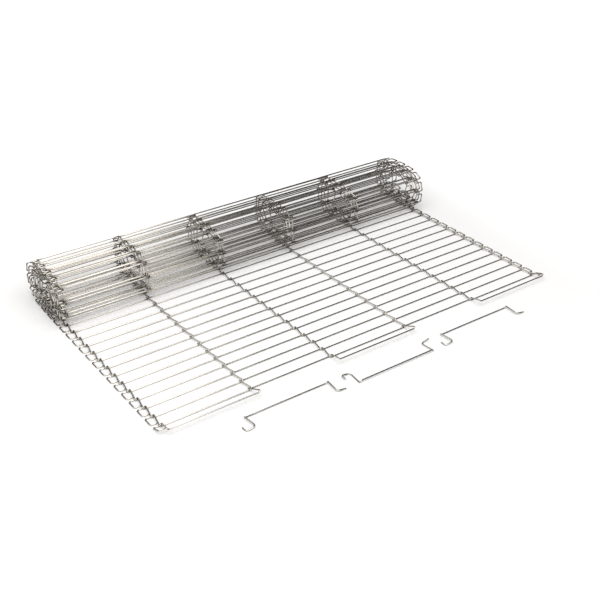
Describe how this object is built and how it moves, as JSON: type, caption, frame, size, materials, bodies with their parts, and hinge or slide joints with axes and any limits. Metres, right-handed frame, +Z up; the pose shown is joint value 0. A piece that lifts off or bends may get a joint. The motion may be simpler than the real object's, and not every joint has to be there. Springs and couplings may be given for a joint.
{
  "type": "flat wire conveyor belt",
  "caption": "Flat wire conveyor belt of hinged bent-wire strands, half rolled up on its far end, with loose wires for joining its ends.",
  "frame": {"origin": "on the floor, at the middle of the whole object seen from above", "axes": "+X across the belt, +Y along the belt towards the roll, +Z up from the floor"},
  "size_m": [0.3982, 0.2704, 0.044],
  "materials": {
    "belt_wire": "bright drawn stainless wire",
    "joining_wire": "bright drawn stainless wire"
  },
  "bodies": {
    "belt_base": {"base_strand_01": "belt_wire", "base_strand_02": "belt_wire", "base_strand_03": "belt_wire", "base_strand_04": "belt_wire", "outer_turn_strand_01": "belt_wire"},
    "flat_strand_01": {"flat_strand_01": "belt_wire"},
    "flat_strand_02": {"flat_strand_02": "belt_wire"},
    "flat_strand_03": {"flat_strand_03": "belt_wire"},
    "flat_strand_04": {"flat_strand_04": "belt_wire"},
    "flat_strand_05": {"flat_strand_05": "belt_wire"},
    "flat_strand_06": {"flat_strand_06": "belt_wire"},
    "flat_strand_07": {"flat_strand_07": "belt_wire"},
    "flat_strand_08": {"flat_strand_08": "belt_wire"},
    "flat_strand_09": {"flat_strand_09": "belt_wire"},
    "flat_strand_10": {"flat_strand_10": "belt_wire"},
    "flat_strand_11": {"flat_strand_11": "belt_wire"},
    "flat_strand_12": {"flat_strand_12": "belt_wire"},
    "flat_strand_13": {"flat_strand_13": "belt_wire"},
    "roll": {"outer_turn_strand_02": "belt_wire", "outer_turn_strand_03": "belt_wire", "outer_turn_strand_04": "belt_wire", "outer_turn_strand_05": "belt_wire", "outer_turn_strand_06": "belt_wire", "outer_turn_strand_07": "belt_wire", "outer_turn_strand_08": "belt_wire", "outer_turn_strand_09": "belt_wire", "outer_turn_strand_10": "belt_wire", "outer_turn_strand_11": "belt_wire", "second_turn_strands": "belt_wire", "third_turn_strands": "belt_wire", "core_strands": "belt_wire"},
    "joining_wire_left": {"joining_wire_left": "joining_wire"},
    "joining_wire_middle": {"joining_wire_middle": "joining_wire"},
    "joining_wire_right": {"joining_wire_right": "joining_wire"}
  },
  "joints": [
    {"name": "flat_hinge_01", "type": "hinge", "parent": "belt_base", "child": "flat_strand_01", "pos_m": [0, 0.05965, 0.00062], "axis": [-1, 0, 0], "range_deg": [-3, 40]},
    {"name": "flat_hinge_02", "type": "hinge", "parent": "flat_strand_01", "child": "flat_strand_02", "pos_m": [0, 0.04695, 0.00062], "axis": [1, 0, 0], "range_deg": [-40, 3]},
    {"name": "flat_hinge_03", "type": "hinge", "parent": "flat_strand_02", "child": "flat_strand_03", "pos_m": [0, 0.03425, 0.00062], "axis": [-1, 0, 0], "range_deg": [-3, 40]},
    {"name": "flat_hinge_04", "type": "hinge", "parent": "flat_strand_03", "child": "flat_strand_04", "pos_m": [0, 0.02155, 0.00062], "axis": [1, 0, 0], "range_deg": [-40, 3]},
    {"name": "flat_hinge_05", "type": "hinge", "parent": "flat_strand_04", "child": "flat_strand_05", "pos_m": [0, 0.00885, 0.00062], "axis": [-1, 0, 0], "range_deg": [-3, 40]},
    {"name": "flat_hinge_06", "type": "hinge", "parent": "flat_strand_05", "child": "flat_strand_06", "pos_m": [0, -0.00385, 0.00062], "axis": [1, 0, 0], "range_deg": [-40, 3]},
    {"name": "flat_hinge_07", "type": "hinge", "parent": "flat_strand_06", "child": "flat_strand_07", "pos_m": [0, -0.01655, 0.00062], "axis": [-1, 0, 0], "range_deg": [-3, 40]},
    {"name": "flat_hinge_08", "type": "hinge", "parent": "flat_strand_07", "child": "flat_strand_08", "pos_m": [0, -0.02925, 0.00062], "axis": [1, 0, 0], "range_deg": [-40, 3]},
    {"name": "flat_hinge_09", "type": "hinge", "parent": "flat_strand_08", "child": "flat_strand_09", "pos_m": [0, -0.04195, 0.00062], "axis": [1, 0, 0], "range_deg": [-40, 3]},
    {"name": "flat_hinge_10", "type": "hinge", "parent": "flat_strand_09", "child": "flat_strand_10", "pos_m": [0, -0.05465, 0.00062], "axis": [1, 0, 0], "range_deg": [-40, 3]},
    {"name": "flat_hinge_11", "type": "hinge", "parent": "flat_strand_10", "child": "flat_strand_11", "pos_m": [0, -0.06735, 0.00062], "axis": [1, 0, 0], "range_deg": [-40, 3]},
    {"name": "flat_hinge_12", "type": "hinge", "parent": "flat_strand_11", "child": "flat_strand_12", "pos_m": [0, -0.08005, 0.00062], "axis": [1, 0, 0], "range_deg": [-40, 3]},
    {"name": "flat_hinge_13", "type": "hinge", "parent": "flat_strand_12", "child": "flat_strand_13", "pos_m": [0, -0.09275, 0.00062], "axis": [-1, 0, 0], "range_deg": [-23, 20]},
    {"name": "roll_hinge", "type": "hinge", "parent": "belt_base", "child": "roll", "pos_m": [0, 0.12306, 0.00306], "axis": [-1, 0, 0], "range_deg": [0, 39]},
    {"name": "joining_lift_left", "type": "slide", "parent": "belt_base", "child": "joining_wire_left", "axis": [0, 0, 1], "range_m": [0, 0.05]},
    {"name": "joining_lift_middle", "type": "slide", "parent": "belt_base", "child": "joining_wire_middle", "axis": [0, 0, 1], "range_m": [0, 0.05]},
    {"name": "joining_lift_right", "type": "slide", "parent": "belt_base", "child": "joining_wire_right", "axis": [0, 0, 1], "range_m": [0, 0.05]}
  ]
}
